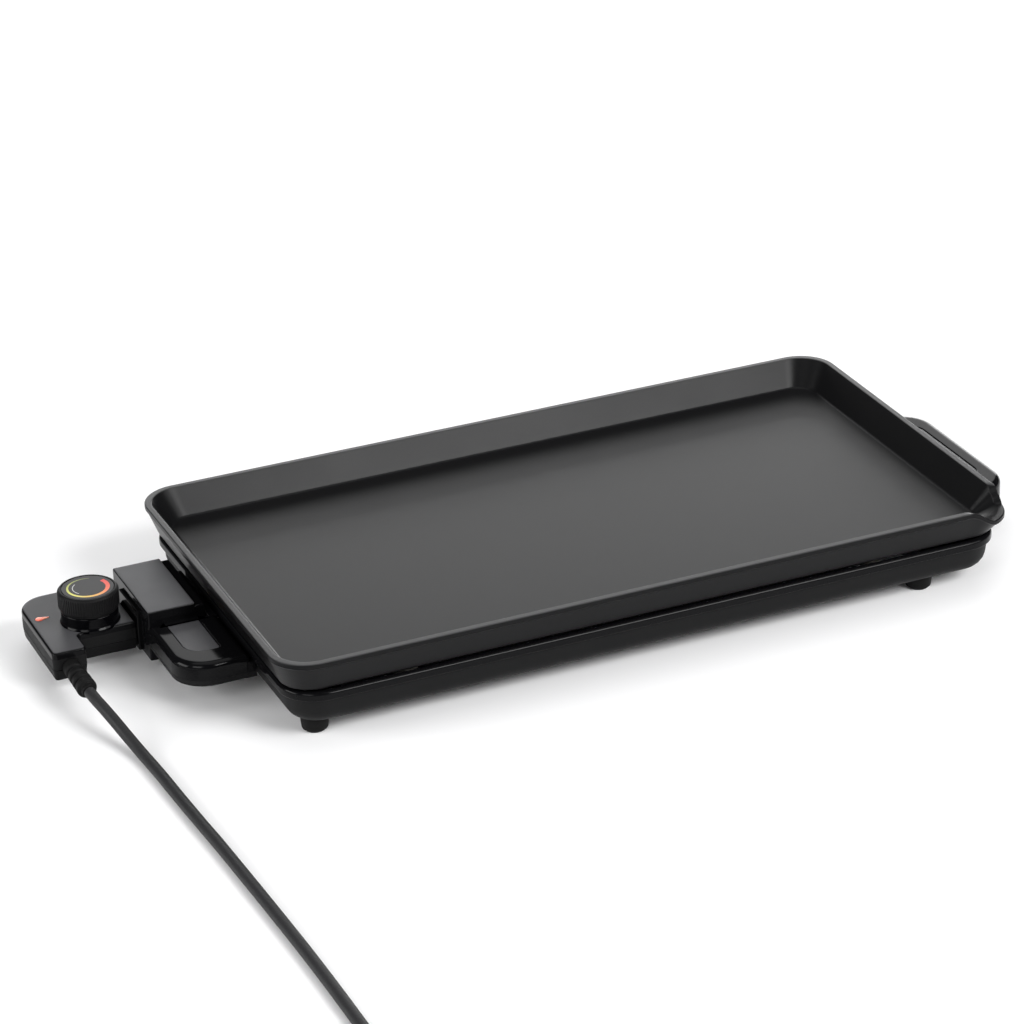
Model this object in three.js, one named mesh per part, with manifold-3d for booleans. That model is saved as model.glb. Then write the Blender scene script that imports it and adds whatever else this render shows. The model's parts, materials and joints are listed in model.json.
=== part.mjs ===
// Electric griddle: a coated cooking plate on a base tray, two side handles, and a plug-in
// thermostat controller with its mains lead. Millimetres, +Z up, standing on z = 0.
// +X runs along the plate to the plain handle, +Y runs to the back.
import * as THREE from 'three';
import { mergeVertices } from 'three/addons/utils/BufferGeometryUtils.js';
import Module from 'manifold-3d';

const wasm = await Module();
wasm.setup();

// ---- Driving dimensions -------------------------------------------------------------------
const FIT = 0.3;                  // gap between pieces that touch
const PLATE = {
  halfX: 250, halfY: 138.4, corner: 25,   // outer edge of the rim
  rimTop: 58, floorTop: 40.6, bottom: 36.5,
  rimWidth: 4.1, flare: 15.6, footInset: 7,
  spoutDip: 9.5,                          // how far the pouring corner is lowered
  spoutFront: [9, 29], spoutSide: [15, 25], // its flat and its end along each rim
};
const TRAY = {
  halfX: 241, halfY: 131, corner: 22,
  bottom: 10.5, top: 35, wall: 2, bandBottom: 29.2, bandBulge: 2.5,
  foot: [[12.2, 0], [7.1, 1.2], [3.2, 4.6], [1.3, 9.5]],  // curved foot: inset and height
};
const POST = { x: 160, y: 107, radius: 7, bore: 2.6 };      // plate spacers and bosses
const FEET = { xLeft: -222, xRight: 193, y: 110.5, height: 10.2, radius: 9 };
const HANDLE = {
  reach: 289, halfY: 65, corner: 22, bottom: 18, top: 33.5, shell: 2.5,
  joint: 244.6, inlayX0: 257.5, inlayX1: 278, inlayHalfY: 46, inlayDepth: 2.5,
};
const SOCKET = {
  x0: -288.5, x1: -257, step: -251, y0: 0, y1: 70, z0: 9, z1: 42.5, wall: 2.4,
  windowY: 15.4, windowZ0: 11.2, windowZ1: 28.2,
};
const AXIS = { y: 35, z: 20 };    // centre line of probe and controller arm
const BOX = {
  x0: -351, x1: -329, xFar: -318, y0: -1, y1: 81, z0: 9.5, z1: 29, split: 17,
  armHalf: 16.5, armEnd: -290.9, wall: 2,
};
const KNOB = {
  x: -315.3, y: 35, radius: 19.25, top: 51, capBottom: 40.2, dial: 16.4,
  boss: 18, bossTop: 37.4,
};
const NOSE = { end: -263, halfY: 14.6, z0: 11.8, z1: 27.6 };
const PROBE = { end: -206, radius: 3 };
const PINS = { offset: 8.6, radius: 2.4, inner: -232, outer: -278 };
const CORD = {
  diameter: 7.4, coilX: -266.8, coilY: -562, coilInner: 36.5, coilOuter: 53.9, coilHeight: 15.2,
};

const group = new THREE.Group();
const model = new THREE.Group();   // measured from the plate's centre, moved below
group.add(model);

// ---- Materials ----------------------------------------------------------------------------
const material = (color, roughness, metalness = 0) =>
  new THREE.MeshStandardMaterial({ color, roughness, metalness });
const coating = material(0x26262a, 0.5, 0.1);
const moulded = material(0x1c1c1f, 0.45);
const glossBlack = material(0x08080a, 0.12);
const satinBlack = material(0x232327, 0.55);
const mattBlack = material(0x141416, 0.7);
const steel = material(0x9a9ca0, 0.3, 1);
const brass = material(0xb08a45, 0.35, 1);
const ceramic = material(0xe6e0d4, 0.7);
const aluminium = material(0xb9bbbe, 0.4, 1);
const rubber = material(0x101011, 0.9);
const lampRed = material(0xd8452a, 0.25);

function addPart(name, geometry, mat, parent = model) {
  const mesh = new THREE.Mesh(geometry, mat);
  mesh.name = name;
  parent.add(mesh);
  return mesh;
}

// ---- Solids: joining and cutting ----------------------------------------------------------
function toSolid(geometry) {
  let g = geometry.clone();
  g.deleteAttribute('normal');
  g.deleteAttribute('uv');
  g = mergeVertices(g, 1e-4);
  return new wasm.Manifold(new wasm.Mesh({
    numProp: 3,
    vertProperties: new Float32Array(g.attributes.position.array),
    triVerts: new Uint32Array(g.index.array),
  }));
}

function toGeometry(solid) {
  const mesh = solid.getMesh();
  const g = new THREE.BufferGeometry();
  g.setAttribute('position', new THREE.BufferAttribute(mesh.vertProperties, 3));
  g.setIndex(new THREE.BufferAttribute(mesh.triVerts, 1));
  return g;
}

const cut = (body, ...tools) =>
  toGeometry(tools.reduce((solid, tool) => solid.subtract(toSolid(tool)), toSolid(body)));
const join = (body, ...others) =>
  toGeometry(others.reduce((solid, other) => solid.add(toSolid(other)), toSolid(body)));

// ---- Basic forms --------------------------------------------------------------------------
function box(x0, x1, y0, y1, z0, z1) {
  const g = new THREE.BoxGeometry(x1 - x0, y1 - y0, z1 - z0);
  return g.translate((x0 + x1) / 2, (y0 + y1) / 2, (z0 + z1) / 2);
}

function upright(radius, z0, z1, x, y, sides = 20) {
  const g = new THREE.CylinderGeometry(radius, radius, z1 - z0, sides);
  return g.rotateX(Math.PI / 2).translate(x, y, (z0 + z1) / 2);
}

function rodX(radius, x0, x1, y, z, sides = 16) {
  const g = new THREE.CylinderGeometry(radius, radius, x1 - x0, sides);
  return g.rotateZ(Math.PI / 2).translate((x0 + x1) / 2, y, z);
}

// A turned piece: pairs of radius and height, closed on the axis, standing at x, y.
function turned(profile, x, y, sides = 20) {
  const points = profile.map(([r, z]) => new THREE.Vector2(r, z));
  return new THREE.LatheGeometry(points, sides).rotateX(Math.PI / 2).translate(x, y, 0);
}

// A rounded rectangle with its own radius at each corner, extruded from z0 to z1.
// Radii run anticlockwise from the corner at x0, y0.
function roundedBlock(x0, x1, y0, y1, z0, z1, radii, curveSegments = 5) {
  const [a, b, c, d] = Array.isArray(radii) ? radii : [radii, radii, radii, radii];
  const s = new THREE.Shape();
  s.moveTo(x0 + a, y0);
  s.lineTo(x1 - b, y0);
  s.absarc(x1 - b, y0 + b, b, -Math.PI / 2, 0);
  s.lineTo(x1, y1 - c);
  s.absarc(x1 - c, y1 - c, c, 0, Math.PI / 2);
  s.lineTo(x0 + d, y1);
  s.absarc(x0 + d, y1 - d, d, Math.PI / 2, Math.PI);
  s.lineTo(x0, y0 + a);
  s.absarc(x0 + a, y0 + a, a, Math.PI, 1.5 * Math.PI);
  const g = new THREE.ExtrudeGeometry(s, { depth: z1 - z0, bevelEnabled: false, curveSegments });
  return g.translate(0, 0, z0);
}

function circle(radius, sides) {
  const s = new THREE.Shape();
  for (let i = 0; i < sides; i += 1) {
    const angle = (2 * Math.PI * i) / sides;
    const point = [radius * Math.cos(angle), radius * Math.sin(angle)];
    if (i === 0) s.moveTo(...point);
    else s.lineTo(...point);
  }
  s.closePath();
  return s;
}

// A round bar that follows the given points.
function bar(points, radius, steps, sides = 8) {
  const path = new THREE.CatmullRomCurve3(points.map((p) => new THREE.Vector3(...p)), false, 'centripetal');
  return new THREE.ExtrudeGeometry(circle(radius, sides), { steps, extrudePath: path, bevelEnabled: false });
}

// ---- Lofted pans --------------------------------------------------------------------------
// One level outline of a pan: a rounded rectangle with extra points beside each corner.
const SIDE_STEPS = [4, 9];
function outline(halfX, halfY, radius, segments) {
  const points = [];
  for (let corner = 0; corner < 4; corner += 1) {
    const turn = (corner * Math.PI) / 2;
    const signX = corner === 0 || corner === 3 ? 1 : -1;
    const signY = corner < 2 ? 1 : -1;
    const centre = new THREE.Vector2(signX * (halfX - radius), signY * (halfY - radius));
    const along = new THREE.Vector2(-Math.sin(turn), Math.cos(turn));
    const onArc = (angle) =>
      centre.clone().add(new THREE.Vector2(Math.cos(angle), Math.sin(angle)).multiplyScalar(radius));
    for (const back of [...SIDE_STEPS].reverse()) {
      const at = onArc(turn).addScaledVector(along, -back);
      points.push({ at, s: -(radius * Math.PI) / 4 - back, corner });
    }
    for (let i = 0; i <= segments; i += 1) {
      const angle = turn + (i / segments) * (Math.PI / 2);
      points.push({ at: onArc(angle), s: radius * (angle - turn - Math.PI / 4), corner });
    }
    const last = points[points.length - 1];
    const onward = new THREE.Vector2(-Math.cos(turn), -Math.sin(turn));
    for (const ahead of SIDE_STEPS) {
      points.push({ at: last.at.clone().addScaledVector(onward, ahead), s: last.s + ahead, corner });
    }
  }
  return points;
}

// Joins level outlines into one closed pan. Each level has an inset, a height and a radius.
function pan(halfX, halfY, levels, segments, lower = () => 0) {
  const rings = levels.map(({ inset, z, radius }) =>
    outline(halfX - inset, halfY - inset, radius, segments).map((p) =>
      new THREE.Vector3(p.at.x, p.at.y, z - lower(p, z))));
  const count = rings[0].length;
  const positions = [];
  const triangle = (a, b, c) => positions.push(...a.toArray(), ...b.toArray(), ...c.toArray());
  for (let r = 0; r + 1 < rings.length; r += 1) {
    for (let i = 0; i < count; i += 1) {
      const j = (i + 1) % count;
      triangle(rings[r][i], rings[r][j], rings[r + 1][j]);
      triangle(rings[r][i], rings[r + 1][j], rings[r + 1][i]);
    }
  }
  const first = rings[0];
  const last = rings[rings.length - 1];
  const under = new THREE.Vector3(0, 0, first[0].z);
  const over = new THREE.Vector3(0, 0, last[0].z);
  for (let i = 0; i < count; i += 1) {
    const j = (i + 1) % count;
    triangle(under, first[j], first[i]);
    triangle(over, last[i], last[j]);
  }
  const g = new THREE.BufferGeometry();
  g.setAttribute('position', new THREE.Float32BufferAttribute(positions, 3));
  return g;
}

const corners = [[-1, -1], [1, -1], [1, 1], [-1, 1]];

// ---- Cooking plate ------------------------------------------------------------------------
const SPOUT_CORNER = 3;            // the corner at +X, -Y in the outline's order
const DIP_FOOT = 42;               // below this height the wall doesn't follow the spout
function spoutDrop(point, z) {
  if (point.corner !== SPOUT_CORNER || z < DIP_FOOT) return 0;
  const [flat, end] = point.s < 0 ? PLATE.spoutFront : PLATE.spoutSide;
  const away = THREE.MathUtils.smoothstep(Math.abs(point.s), flat, end);
  const share = Math.min((z - DIP_FOOT) / (PLATE.rimTop - 3 - DIP_FOOT), 1);
  return PLATE.spoutDip * (1 - away) * share;
}

const plateLevels = [
  { inset: PLATE.footInset + 1.4, z: PLATE.bottom, radius: 20 },
  { inset: PLATE.footInset, z: PLATE.bottom + 1.2, radius: 21 },
  { inset: PLATE.footInset - 1.4, z: DIP_FOOT, radius: 22 },
  { inset: 0.8, z: PLATE.rimTop - 4, radius: 24.5 },
  { inset: 0, z: PLATE.rimTop - 3, radius: 25 },
  { inset: 0, z: PLATE.rimTop - 0.8, radius: 25 },
  { inset: 0.8, z: PLATE.rimTop, radius: 24.5 },
  { inset: PLATE.rimWidth - 0.6, z: PLATE.rimTop, radius: 22 },
  { inset: PLATE.rimWidth, z: PLATE.rimTop - 0.8, radius: 21.5 },
  { inset: PLATE.flare - 1.2, z: PLATE.floorTop + 1.6, radius: 16 },
  { inset: PLATE.flare + 1, z: PLATE.floorTop, radius: 14 },
];
const BOSS = { radius: 6.5, z0: 30.2, bore: 1.9, boreTop: 38 };
let plate = toSolid(pan(PLATE.halfX, PLATE.halfY, plateLevels, 6, spoutDrop));
for (const [sx, sy] of corners) {
  plate = plate.add(toSolid(upright(BOSS.radius, BOSS.z0, PLATE.bottom + 1, sx * POST.x, sy * POST.y, 16)));
  const bore = upright(BOSS.bore, BOSS.z0 - 1, BOSS.boreTop, sx * POST.x, sy * POST.y, 10);
  plate = plate.subtract(toSolid(bore));
}
addPart('cooking_plate', toGeometry(plate), coating);

// ---- Heating element, its pins and the probe's sleeve --------------------------------------
const ELEMENT = { radius: 4, z: PLATE.bottom - 4 - 3 * FIT, endX: PINS.inner + FIT, farX: 205, nearX: -170 };
const elementRoute = [
  [ELEMENT.endX, AXIS.y + PINS.offset, AXIS.z],
  [-221, AXIS.y + PINS.offset, AXIS.z],
  [-211, AXIS.y + PINS.offset + 4, AXIS.z + 3],
  [-203, 62, ELEMENT.z - 2],
  [-193, 76, ELEMENT.z],
  [-176, 85, ELEMENT.z],
  [-150, 87, ELEMENT.z],
  [20, 87, ELEMENT.z],
  [165, 87, ELEMENT.z],
  [190, 80, ELEMENT.z],
  [ELEMENT.farX, 58, ELEMENT.z],
  [ELEMENT.farX, 0, ELEMENT.z],
  [ELEMENT.farX, -58, ELEMENT.z],
  [190, -80, ELEMENT.z],
  [165, -87, ELEMENT.z],
  [20, -87, ELEMENT.z],
  [-150, -87, ELEMENT.z],
  [-174, -80, ELEMENT.z],
  [-182, -58, ELEMENT.z],
  [-174, -36, ELEMENT.z],
  [-150, -29, ELEMENT.z],
  [0, -29, ELEMENT.z],
  [118, -29, ELEMENT.z],
  [140, -20, ELEMENT.z],
  [146, -2, ELEMENT.z],
  [140, 16, ELEMENT.z],
  [118, 25, ELEMENT.z],
  [0, 25, ELEMENT.z],
  [-150, 25, ELEMENT.z],
  [-190, 25.4, ELEMENT.z],
  [-208, 25.4, ELEMENT.z - 5],
  [-221, AXIS.y - PINS.offset, AXIS.z],
  [ELEMENT.endX, AXIS.y - PINS.offset, AXIS.z],
];
addPart('heating_element', bar(elementRoute, ELEMENT.radius, 92), steel);

for (const [index, side] of [[1, 1], [2, -1]]) {
  const y = AXIS.y + side * PINS.offset;
  const pin = join(
    rodX(PINS.radius, PINS.outer, PINS.inner, y, AXIS.z),
    rodX(PINS.radius + 1.2, PINS.inner - 6, PINS.inner, y, AXIS.z),
  );
  addPart(`terminal_pin_${index}`, pin, brass);
}

const SLEEVE = { x0: -234, x1: -204, radius: 4.6 };
const sleeve = cut(
  join(
    rodX(SLEEVE.radius, SLEEVE.x0, SLEEVE.x1, AXIS.y, AXIS.z),
    box(-222, -210, AXIS.y - 3, AXIS.y + 3, AXIS.z, PLATE.bottom - FIT),
    box(-224, -208, AXIS.y - 6, AXIS.y + 6, PLATE.bottom - 2, PLATE.bottom - FIT),
  ),
  rodX(PROBE.radius + 0.5, SLEEVE.x0 - 1, SLEEVE.x1 - 2, AXIS.y, AXIS.z),
);
addPart('probe_sleeve', sleeve, aluminium);

// ---- Base tray ----------------------------------------------------------------------------
const b = TRAY;
const trayLevels = [
  ...b.foot.map(([inset, up]) => ({ inset, z: b.bottom + up, radius: b.corner - inset * 0.8 })),
  { inset: 0, z: b.bandBottom, radius: b.corner },
  { inset: -b.bandBulge * 0.8, z: b.bandBottom + 0.9, radius: b.corner + 2 },
  { inset: -b.bandBulge, z: b.bandBottom + 3, radius: b.corner + 2.5 },
  { inset: -b.bandBulge * 0.8, z: b.top - 0.9, radius: b.corner + 2 },
  { inset: -b.bandBulge * 0.3, z: b.top, radius: b.corner + 1 },
  { inset: b.wall - b.bandBulge * 0.3, z: b.top, radius: b.corner - 1 },
  { inset: b.wall, z: b.top - 1.5, radius: b.corner - 2 },
  { inset: b.wall + 1.3, z: b.bottom + 9.5, radius: b.corner - 3 },
  { inset: b.wall + 5, z: b.bottom + b.wall + 2.6, radius: 16 },
  { inset: b.wall + 11, z: b.bottom + b.wall, radius: 11 },
];
const TRAY_FLOOR = TRAY.bottom + TRAY.wall;
const HANDLE_SCREW = { z: 25.5, farY: 40, nearY: -12, plainY: 30, radius: 1.9 };
const screwPlaces = [
  { side: -1, y: -HANDLE_SCREW.farY },
  { side: -1, y: HANDLE_SCREW.nearY },
  { side: 1, y: -HANDLE_SCREW.plainY },
  { side: 1, y: HANDLE_SCREW.plainY },
];
const footPlaces = [
  [FEET.xLeft, -FEET.y], [FEET.xRight, -FEET.y], [FEET.xRight, FEET.y], [FEET.xLeft, FEET.y],
];
const trayCuts = [
  box(-TRAY.halfX - 4, -TRAY.halfX + 12, AXIS.y - 15, AXIS.y + 15, AXIS.z - 6, AXIS.z + 6.5),
  ...corners.map(([sx, sy]) =>
    upright(POST.bore, TRAY.bottom - 1, TRAY_FLOOR + 1, sx * POST.x, sy * POST.y, 12)),
  ...footPlaces.map(([x, y]) => upright(2.8, TRAY.bottom - 1, TRAY_FLOOR + 1, x, y, 12)),
  ...screwPlaces.map(({ side, y }) =>
    rodX(HANDLE_SCREW.radius + 0.4, side > 0 ? TRAY.halfX - 6 : -TRAY.halfX - 4,
      side > 0 ? TRAY.halfX + 4 : -TRAY.halfX + 6, y, HANDLE_SCREW.z, 10)),
];
addPart('base_tray', cut(pan(TRAY.halfX, TRAY.halfY, trayLevels, 5), ...trayCuts), moulded);

const reflectorLevels = [
  { inset: 0, z: TRAY_FLOOR + FIT + 1, radius: 12 },
  { inset: -3, z: TRAY_FLOOR + FIT + 5, radius: 14 },
  { inset: -2.2, z: TRAY_FLOOR + FIT + 5, radius: 13 },
  { inset: 1, z: TRAY_FLOOR + FIT + 1.9, radius: 11 },
];
const REFLECTOR = { halfX: 197, halfY: 117 };
const reflectorCuts = [
  ...corners.map(([sx, sy]) =>
    upright(POST.radius + 1, TRAY_FLOOR, TRAY_FLOOR + 8, sx * POST.x, sy * POST.y, 12)),
  ...footPlaces.map(([x, y]) => upright(5, TRAY_FLOOR, TRAY_FLOOR + 8, x, y, 12)),
];
const reflector = pan(REFLECTOR.halfX, REFLECTOR.halfY, reflectorLevels, 3);
addPart('heat_reflector', cut(reflector, ...reflectorCuts), aluminium);

corners.forEach(([sx, sy], index) => {
  const x = sx * POST.x;
  const y = sy * POST.y;
  const spacer = cut(
    upright(POST.radius, TRAY_FLOOR + FIT, BOSS.z0 - FIT, x, y, 16),
    upright(POST.bore, TRAY_FLOOR, BOSS.z0, x, y, 12),
  );
  addPart(`plate_spacer_${index + 1}`, spacer, ceramic);
  const head = TRAY.bottom - FIT;
  const screw = turned([
    [0, head - 2.4], [3.4, head - 2.4], [4, head - 1.6], [4, head], [1.6, head], [1.6, 36], [0, 36],
  ], x, y, 9);
  addPart(`plate_screw_${index + 1}`, screw, steel);
});

footPlaces.forEach(([x, y], index) => {
  const foot = turned([
    [0, 0], [FEET.radius - 2.4, 0], [FEET.radius - 1.2, 1.2], [FEET.radius, FEET.height - 2],
    [FEET.radius, FEET.height], [2.5, FEET.height], [2.5, TRAY_FLOOR + FIT], [4, TRAY_FLOOR + FIT],
    [2, TRAY_FLOOR + 3.4], [0, TRAY_FLOOR + 3.4],
  ], x, y, 14);
  addPart(`foot_${index + 1}`, foot, rubber);
});

// ---- Handles ------------------------------------------------------------------------------
// A top shell, open underneath, as seen for the +X side; the left one is turned round.
// Its root reaches in under the tray's rim band.
function handleShell(yEnd) {
  const h = HANDLE;
  const outer = join(
    roundedBlock(h.joint, h.reach, -h.halfY, yEnd, h.bottom, h.top,
      [3, h.corner, yEnd === h.halfY ? h.corner : 1, 3]),
    box(TRAY.halfX + FIT, h.joint + 3, -h.halfY + 0.2, yEnd - 0.2, h.bottom, TRAY.bandBottom - 0.4),
  );
  const hollow = roundedBlock(h.joint + h.shell, h.reach - h.shell, -h.halfY + h.shell, yEnd - h.shell,
    h.bottom - 1, h.top - h.inlayDepth - 2.4,
    [2, h.corner - h.shell, yEnd === h.halfY ? h.corner - h.shell : 1, 2]);
  const recessEnd = Math.min(h.inlayHalfY, yEnd + 1);
  const recess = roundedBlock(h.inlayX0, h.inlayX1, -h.inlayHalfY, recessEnd, h.top - h.inlayDepth, h.top + 1,
    [2, 12, yEnd === h.halfY ? 12 : 0.5, 2]);
  return cut(outer, hollow, recess);
}

function handleInlay(yEnd) {
  const h = HANDLE;
  const g = FIT;
  return roundedBlock(h.inlayX0 + g, h.inlayX1 - g, -h.inlayHalfY + g, Math.min(h.inlayHalfY, yEnd) - g,
    h.top - h.inlayDepth + g, h.top - h.inlayDepth + g + 1.2, [2, 12, yEnd === h.halfY ? 12 : 0.5, 2]);
}

function handleBase(yEnd) {
  const h = HANDLE;
  const inset = h.shell + FIT;
  const radii = [2, h.corner - inset, yEnd === h.halfY ? h.corner - inset : 1, 2];
  return roundedBlock(h.joint + inset, h.reach - inset, -h.halfY + inset, yEnd - inset,
    h.bottom + 0.2, h.bottom + 2.4, radii);
}

const mirrorX = (geometry) => {
  const g = geometry.clone().scale(-1, 1, 1);
  const index = g.index ? g.index.array : null;
  if (index) {
    for (let i = 0; i < index.length; i += 3) [index[i + 1], index[i + 2]] = [index[i + 2], index[i + 1]];
    return g;
  }
  const p = g.attributes.position.array;
  for (let i = 0; i < p.length; i += 9) {
    for (let k = 0; k < 3; k += 1) [p[i + 3 + k], p[i + 6 + k]] = [p[i + 6 + k], p[i + 3 + k]];
  }
  return g;
};

const screwHole = ({ side, y }) => {
  const x = side * (HANDLE.joint + 2);
  return rodX(HANDLE_SCREW.radius - 0.2 + 0.5, x - 6, x + 6, y, HANDLE_SCREW.z, 10);
};
const rightHandle = cut(handleShell(HANDLE.halfY), ...screwPlaces.filter((s) => s.side > 0).map(screwHole));
addPart('right_handle', rightHandle, glossBlack);
addPart('right_handle_base', handleBase(HANDLE.halfY), mattBlack);
addPart('right_grip_inlay', handleInlay(HANDLE.halfY), satinBlack);

// The left handle's near half is a grip; a narrow flange runs on beside the socket.
const lobeEnd = SOCKET.y0 - FIT;
const flange = box(SOCKET.step + FIT, -HANDLE.joint, lobeEnd - 2.4, HANDLE.halfY, HANDLE.bottom, HANDLE.top);
const leftHandle = cut(
  join(mirrorX(handleShell(lobeEnd)), flange),
  ...screwPlaces.filter((s) => s.side < 0).map(screwHole),
  box(SOCKET.step - 4, -HANDLE.joint + 3, AXIS.y - 15, AXIS.y + 15, HANDLE.bottom - 1, AXIS.z + 6.5),
);
addPart('left_handle', leftHandle, glossBlack);
addPart('left_handle_base', mirrorX(handleBase(lobeEnd)), mattBlack);
addPart('left_grip_inlay', mirrorX(handleInlay(lobeEnd)), satinBlack);

screwPlaces.forEach(({ side, y }, index) => {
  const inside = TRAY.halfX - TRAY.wall - 1.9;
  const head = rodX(3.4, inside - 2, inside, 0, 0, 12);
  const shank = rodX(HANDLE_SCREW.radius - 0.3, inside - 1, HANDLE.joint + 9, 0, 0, 8);
  const screw = join(head, shank);
  const placed = (side > 0 ? screw : mirrorX(screw)).translate(0, y, HANDLE_SCREW.z);
  addPart(`handle_screw_${index + 1}`, placed, steel);
});

// ---- Socket over the terminals ------------------------------------------------------------
const s = SOCKET;
const STEP_DROP = 2;
const SURROUND = s.windowY + 2.4;  // half width of the raised frame round the way in
const cover = cut(
  join(
    roundedBlock(s.x0, s.x1, s.y0, s.y1, s.z0, s.z1, 1.2, 2),
    roundedBlock(s.x1 - 2, s.step, s.y0, s.y1, s.z0 + 8, s.z1 - STEP_DROP, 1, 2),
    roundedBlock(s.x0 - 2, s.x0 + 2, AXIS.y - SURROUND, AXIS.y + SURROUND,
      s.z0, s.windowZ1 + 8, 0.8, 2),
  ),
  box(s.x0 + s.wall, s.x1 - s.wall, s.y0 + s.wall, s.y1 - s.wall, s.z0 - 1, s.z1 - s.wall),
  box(s.x1 - s.wall - 1, s.step - s.wall, s.y0 + s.wall, s.y1 - s.wall, s.z0 + 7, s.z1 - STEP_DROP - s.wall),
  box(s.x1 - s.wall - 1, s.step + 1, AXIS.y - 15, AXIS.y + 15, s.z0 + 4, AXIS.z + 7),
  box(s.x0 - 4, s.x0 + s.wall + 1, AXIS.y - s.windowY, AXIS.y + s.windowY, s.windowZ0, s.windowZ1),
);
const socketPosts = [s.y0 + 8, s.y1 - 8].map((y) => cut(
  upright(3.4, s.z0 + 2.3, s.z1 - s.wall + 1, (s.x0 + s.x1) / 2, y, 12),
  upright(1.5, s.z0, s.z0 + 14, (s.x0 + s.x1) / 2, y, 8),
));
addPart('socket_cover', join(cover, ...socketPosts), satinBlack);

const lining = s.wall + FIT;
const socketFloor = cut(
  box(s.x0 + lining, s.x1 - lining, s.y0 + lining, s.y1 - lining, s.z0 + 0.3, s.z0 + 2),
  upright(1.6, s.z0 - 1, s.z0 + 4, (s.x0 + s.x1) / 2, s.y0 + 8, 10),
  upright(1.6, s.z0 - 1, s.z0 + 4, (s.x0 + s.x1) / 2, s.y1 - 8, 10),
);
addPart('socket_floor', socketFloor, mattBlack);
[s.y0 + 8, s.y1 - 8].forEach((y, index) => {
  const screw = turned(
    [[0, s.z0 - 1.6], [2.6, s.z0 - 1.6], [3, s.z0], [1.2, s.z0], [1.2, s.z0 + 10], [0, s.z0 + 10]],
    (s.x0 + s.x1) / 2, y, 12);
  addPart(`socket_screw_${index + 1}`, screw, steel);
});

const BLOCK_X = { x0: -250.2, x1: -246.4 };
const block = cut(
  box(BLOCK_X.x0, BLOCK_X.x1, AXIS.y - 14.6, AXIS.y + 14.6, AXIS.z - 5.6, AXIS.z + 6),
  rodX(PROBE.radius + 0.6, BLOCK_X.x0 - 1, BLOCK_X.x1 + 1, AXIS.y, AXIS.z),
  rodX(PINS.radius + FIT, BLOCK_X.x0 - 1, BLOCK_X.x1 + 1, AXIS.y + PINS.offset, AXIS.z),
  rodX(PINS.radius + FIT, BLOCK_X.x0 - 1, BLOCK_X.x1 + 1, AXIS.y - PINS.offset, AXIS.z),
);
addPart('terminal_block', block, ceramic);

// ---- Controller ---------------------------------------------------------------------------
const c = BOX;
const controller = new THREE.Group();
model.add(controller);
const armY0 = AXIS.y - c.armHalf;
const armY1 = AXIS.y + c.armHalf;
// The plan of the housing, shrunk by an inset: a bar, wider at its far end, and the arm.
function housingPlan(z0, z1, inset) {
  const main = roundedBlock(c.x0 + inset, c.x1 - inset, c.y0 + inset, c.y1 - inset, z0, z1,
    [3, 3, 2, 18].map((r) => Math.max(r - inset, 0.8)), 6);
  const arm = roundedBlock(c.x1 - 6, c.armEnd - inset, armY0 + inset, armY1 - inset, z0, z1, 1, 2);
  const far = roundedBlock(c.x1 - 6, c.xFar - inset, armY1 - 6, c.y1 - inset, z0, z1,
    [1, 1, Math.max(6 - inset, 0.8), 1], 4);
  return join(main, arm, far);
}
const nose = (z0, z1, inset) =>
  box(c.armEnd - 4, NOSE.end - inset, AXIS.y - NOSE.halfY + inset, AXIS.y + NOSE.halfY - inset, z0, z1);

const contactWays = [
  rodX(PROBE.radius + 0.2, NOSE.end - 8, NOSE.end + 1, AXIS.y, AXIS.z),
  rodX(PINS.radius + 1.4, NOSE.end - 8, NOSE.end + 1, AXIS.y + PINS.offset, AXIS.z),
  rodX(PINS.radius + 1.4, NOSE.end - 8, NOSE.end + 1, AXIS.y - PINS.offset, AXIS.z),
];
const RELIEF = { x: -340, z: 18.4, radius: 5.2 };
const reliefWay = (() => {
  const g = new THREE.CylinderGeometry(RELIEF.radius + FIT, RELIEF.radius + FIT, 8, 16);
  return g.translate(RELIEF.x, c.y0 + 1, RELIEF.z);
})();
const lensPlace = { x: -343, y: 49 };
function lensShape(grow) {
  const shape = new THREE.Shape();
  shape.absarc(-1.4, 0, 2.4 + grow, Math.PI / 3, (5 * Math.PI) / 3);
  shape.lineTo(5 + grow * 2, 0);
  shape.closePath();
  return shape;
}
const lensBody = (grow, z0, z1) =>
  new THREE.ExtrudeGeometry(lensShape(grow), { depth: z1 - z0, bevelEnabled: false, curveSegments: 8 })
    .translate(lensPlace.x, lensPlace.y, z0);

const topShell = cut(
  join(
    housingPlan(c.split + FIT, c.z1, 0),
    nose(c.split + FIT, NOSE.z1, 0),
    upright(KNOB.boss, c.z1 - 1, KNOB.bossTop, KNOB.x, KNOB.y, 28),
  ),
  housingPlan(c.split - 1, c.z1 - c.wall, c.wall),
  nose(c.split - 1, NOSE.z1 - c.wall, c.wall),
  upright(3.4, c.z1 - 4, KNOB.bossTop + 1, KNOB.x, KNOB.y, 16),
  upright(KNOB.boss - 2.4, c.z1 - 4, KNOB.bossTop - 2.4, KNOB.x, KNOB.y, 24),
  lensBody(FIT, c.z1 - 4, c.z1 + 1),
  reliefWay,
  ...contactWays,
);
addPart('controller_top', topShell, satinBlack, controller);

const bottomShell = cut(
  join(housingPlan(c.z0, c.split, 0), nose(NOSE.z0, c.split, 0)),
  housingPlan(c.z0 + c.wall, c.split + 1, c.wall),
  nose(NOSE.z0 + c.wall, c.split + 1, c.wall),
  reliefWay,
  ...contactWays,
  upright(1.6, c.z0 - 1, c.z0 + 4, -341, 8, 10),
  upright(1.6, c.z0 - 1, c.z0 + 4, -341, 68, 10),
);
addPart('controller_bottom', bottomShell, glossBlack, controller);

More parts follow.
